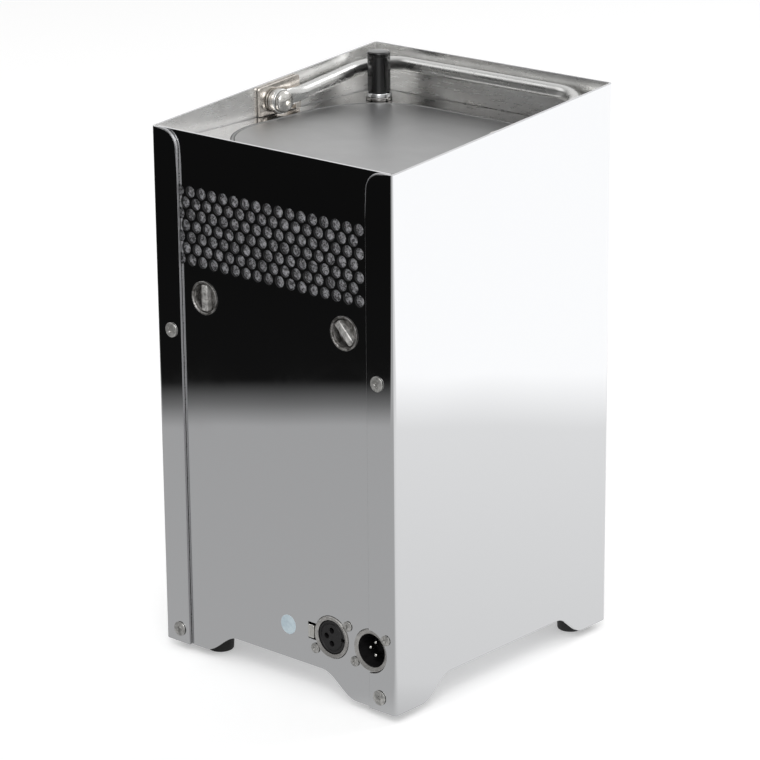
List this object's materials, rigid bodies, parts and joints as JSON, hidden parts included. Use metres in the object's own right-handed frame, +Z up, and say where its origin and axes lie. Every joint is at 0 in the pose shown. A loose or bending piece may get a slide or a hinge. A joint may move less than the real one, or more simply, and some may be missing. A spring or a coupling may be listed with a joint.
{
  "type": "led floor spotlight",
  "caption": "Floor-standing battery LED uplight in a tall folded polished-steel casing with a recessed top window, folding carry handle, stub antenna, vent and round data sockets.",
  "frame": {"origin": "middle of the footprint at the bottom of the rubber feet", "axes": "+Z up, -Y out of the face with the two round sockets, +X to the right when that face is looked at"},
  "size_m": [0.175, 0.1862, 0.3232],
  "materials": {
    "polished_steel": "mirror polished sheet, fine wiping marks",
    "handle_steel": "polished rod",
    "plated_screw": "zinc plated",
    "inner_sheet": "zinc plated sheet",
    "heat_sink": "extruded, satin",
    "socket_metal": "nickel plated barrel",
    "radio_can": "tinned can",
    "socket_insert": "moulded",
    "antenna_rubber": "glossy moulded",
    "brass": "turned",
    "foot_rubber": "moulded",
    "seal_rubber": "extruded seal",
    "button_rubber": "moulded",
    "black_plastic": "moulded",
    "display": "tinted window",
    "window_glass": "clear",
    "lens": "moulded clear lenses",
    "led_board": "white solder mask",
    "circuit_board": "green solder mask",
    "battery_wrap": "shrink wrap",
    "lead_jacket": "cable jacket"
  },
  "bodies": {
    "casing": {"outer_shell": "polished_steel", "front_panel": "polished_steel", "tray_floor": "polished_steel", "handle_bracket_left": "polished_steel", "handle_bracket_right": "polished_steel", "lock_cup_left": "polished_steel", "lock_cup_right": "polished_steel", "antenna_nut": "polished_steel", "handle_bolt_left": "handle_steel", "handle_bolt_right": "handle_steel", "flange_screw_left_low": "plated_screw", "flange_screw_left_high": "plated_screw", "flange_screw_right_low": "plated_screw", "flange_screw_right_high": "plated_screw", "socket_screw_female_low": "plated_screw", "socket_screw_female_high": "plated_screw", "socket_screw_male_low": "plated_screw", "socket_screw_male_high": "plated_screw", "handle_washer_left": "plated_screw", "handle_washer_right": "plated_screw", "inner_shelf": "inner_sheet", "bottom_plate": "inner_sheet", "window_clamp": "inner_sheet", "battery_cradle": "inner_sheet", "battery_strap": "inner_sheet", "heat_sink": "heat_sink", "socket_female": "socket_metal", "socket_male": "socket_metal", "radio_module": "radio_can", "female_insert": "socket_insert", "male_insert": "socket_insert", "antenna_body": "antenna_rubber", "antenna_socket": "brass", "foot_front_left": "foot_rubber", "foot_front_right": "foot_rubber", "foot_rear_left": "foot_rubber", "foot_rear_right": "foot_rubber", "window_gasket": "seal_rubber", "rocker_frame": "black_plastic", "charge_socket": "black_plastic", "display_window": "display", "window_glass": "window_glass", "lens_array": "lens", "led_board": "led_board", "driver_board": "circuit_board", "control_board": "circuit_board", "battery_pack": "battery_wrap", "antenna_lead": "lead_jacket", "led_lead": "lead_jacket", "battery_lead": "lead_jacket", "signal_lead": "lead_jacket"},
    "handle": {"carry_handle": "handle_steel"},
    "lock_left": {"lock_rotor_left": "polished_steel"},
    "lock_right": {"lock_rotor_right": "polished_steel"},
    "latch": {"socket_latch": "socket_metal"},
    "button_1": {"menu_button_1": "button_rubber"},
    "button_2": {"menu_button_2": "button_rubber"},
    "button_3": {"menu_button_3": "button_rubber"},
    "button_4": {"menu_button_4": "button_rubber"},
    "rocker": {"power_rocker": "black_plastic"}
  },
  "joints": [
    {"name": "handle_hinge", "type": "hinge", "parent": "casing", "child": "handle", "pos_m": [0, 0.0036, 0.303], "axis": [1, 0, 0], "range_deg": [0, 170]},
    {"name": "lock_left_turn", "type": "hinge", "parent": "casing", "child": "lock_left", "pos_m": [-0.0514, -0.0891, 0.2135], "axis": [0, -1, 0], "range_deg": [0, 90]},
    {"name": "lock_right_turn", "type": "hinge", "parent": "casing", "child": "lock_right", "pos_m": [0.0514, -0.0891, 0.2135], "axis": [0, -1, 0], "range_deg": [-45, 45]},
    {"name": "latch_push", "type": "slide", "parent": "casing", "child": "latch", "axis": [0, 1, 0], "range_m": [0, 0.0015], "stiffness_N_per_m": 300},
    {"name": "rocker_tilt", "type": "hinge", "parent": "casing", "child": "rocker", "pos_m": [0.034, -0.0209, 0.018], "axis": [-1, 0, 0], "range_deg": [0, 16]},
    {"name": "button_1_press", "type": "slide", "parent": "casing", "child": "button_1", "axis": [0, 0, 1], "range_m": [0, 0.0005], "stiffness_N_per_m": 400},
    {"name": "button_2_press", "type": "slide", "parent": "casing", "child": "button_2", "axis": [0, 0, 1], "range_m": [0, 0.0005], "stiffness_N_per_m": 400},
    {"name": "button_3_press", "type": "slide", "parent": "casing", "child": "button_3", "axis": [0, 0, 1], "range_m": [0, 0.0005], "stiffness_N_per_m": 400},
    {"name": "button_4_press", "type": "slide", "parent": "casing", "child": "button_4", "axis": [0, 0, 1], "range_m": [0, 0.0005], "stiffness_N_per_m": 400}
  ]
}
